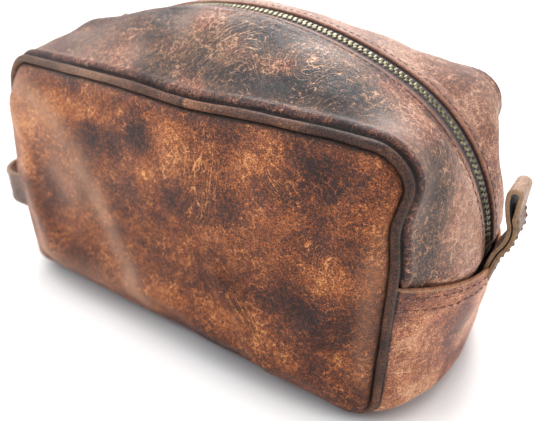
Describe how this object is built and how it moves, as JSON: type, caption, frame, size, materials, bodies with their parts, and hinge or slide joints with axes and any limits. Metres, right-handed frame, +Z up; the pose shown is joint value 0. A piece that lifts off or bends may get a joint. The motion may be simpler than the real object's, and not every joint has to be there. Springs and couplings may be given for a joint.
{
  "type": "shaving kit bag",
  "caption": "Boxy leather wash bag with piped side panels, an arched top zip, a pull tab at one end and a side handle.",
  "frame": {"origin": "centre of the flat bottom panel's outer face", "axes": "+X along the bag towards the pull tab, +Y from the front panel to the back panel, +Z up"},
  "size_m": [0.2825, 0.126, 0.1531],
  "materials": {
    "oiled_leather": "waxed pull-up, distressed",
    "gusset_leather": "waxed pull-up, dark and crackled",
    "piping_leather": "waxed, rubbed",
    "strap_leather": "rubbed, raw edges",
    "lining_cloth": "plain woven cotton",
    "piping_cord": "twisted cotton",
    "zip_tape": "herringbone woven",
    "zip_metal": "antique brass",
    "thread": "waxed polyester thread",
    "base_board": "plain stiffener board"
  },
  "bodies": {
    "bag_base": {"front_panel_lower": "oiled_leather", "front_lining_lower": "lining_cloth", "front_piping_lower": "piping_leather", "front_cord_lower": "piping_cord", "back_panel_lower": "oiled_leather", "back_lining_lower": "lining_cloth", "back_piping_lower": "piping_leather", "back_cord_lower": "piping_cord", "left_end_gusset": "gusset_leather", "left_end_lining": "lining_cloth", "left_hem_stitches": "thread", "right_end_gusset": "gusset_leather", "right_end_lining": "lining_cloth", "right_hem_stitches": "thread", "bottom_panel": "gusset_leather", "bottom_board": "base_board", "bottom_lining": "lining_cloth", "zip_bottom_stop": "zip_metal"},
    "front_mouth": {"front_panel_upper": "oiled_leather", "front_lining_upper": "lining_cloth", "front_piping_upper": "piping_leather", "front_cord_upper": "piping_cord", "front_top_gusset": "gusset_leather", "front_top_lining": "lining_cloth", "front_lip_stitches": "thread", "zip_tape_front": "zip_tape", "zip_teeth_front": "zip_metal", "zip_top_stop_front": "zip_metal"},
    "back_mouth": {"back_panel_upper": "oiled_leather", "back_lining_upper": "lining_cloth", "back_piping_upper": "piping_leather", "back_cord_upper": "piping_cord", "back_top_gusset": "gusset_leather", "back_top_lining": "lining_cloth", "back_lip_stitches": "thread", "zip_tape_back": "zip_tape", "zip_teeth_back": "zip_metal", "zip_top_stop_back": "zip_metal"},
    "zip_slider": {"zip_slider": "zip_metal", "slider_bridge": "zip_metal"},
    "zip_pull": {"zip_pull": "zip_metal"},
    "pull_tab": {"pull_tab": "strap_leather", "tab_stitches": "thread"},
    "side_handle": {"side_handle": "strap_leather", "handle_stitches": "thread"}
  },
  "joints": [
    {"name": "zip_slide", "type": "hinge", "parent": "bag_base", "child": "zip_slider", "pos_m": [0, 0, -0.038], "axis": [0, 1, 0], "range_deg": [0, 45], "deforming": ["zip_tape_front", "zip_tape_back", "zip_teeth_front", "zip_teeth_back"]},
    {"name": "front_mouth_open", "type": "hinge", "parent": "bag_base", "child": "front_mouth", "pos_m": [0, -0.0645, 0.064], "axis": [1, 0, 0], "range_deg": [0, 20]},
    {"name": "back_mouth_open", "type": "hinge", "parent": "bag_base", "child": "back_mouth", "pos_m": [0, 0.0645, 0.064], "axis": [-1, 0, 0], "range_deg": [0, 20]},
    {"name": "pull_swing", "type": "hinge", "parent": "zip_slider", "child": "zip_pull", "pos_m": [-0.07822, 0, 0.13444], "axis": [0, 1, 0], "range_deg": [0, 150]},
    {"name": "tab_flex", "type": "hinge", "parent": "bag_base", "child": "pull_tab", "pos_m": [0.1302, 0, 0.064], "axis": [0, 1, 0], "range_deg": [0, 45]},
    {"name": "handle_swing", "type": "hinge", "parent": "bag_base", "child": "side_handle", "pos_m": [-0.119, 0, 0.043], "axis": [0, 1, 0], "range_deg": [-30, 30]}
  ],
  "couplings": [
    {"joint": "front_mouth_open", "follows": "zip_slide", "ratio": 0.44444},
    {"joint": "back_mouth_open", "follows": "zip_slide", "ratio": 0.44444}
  ]
}
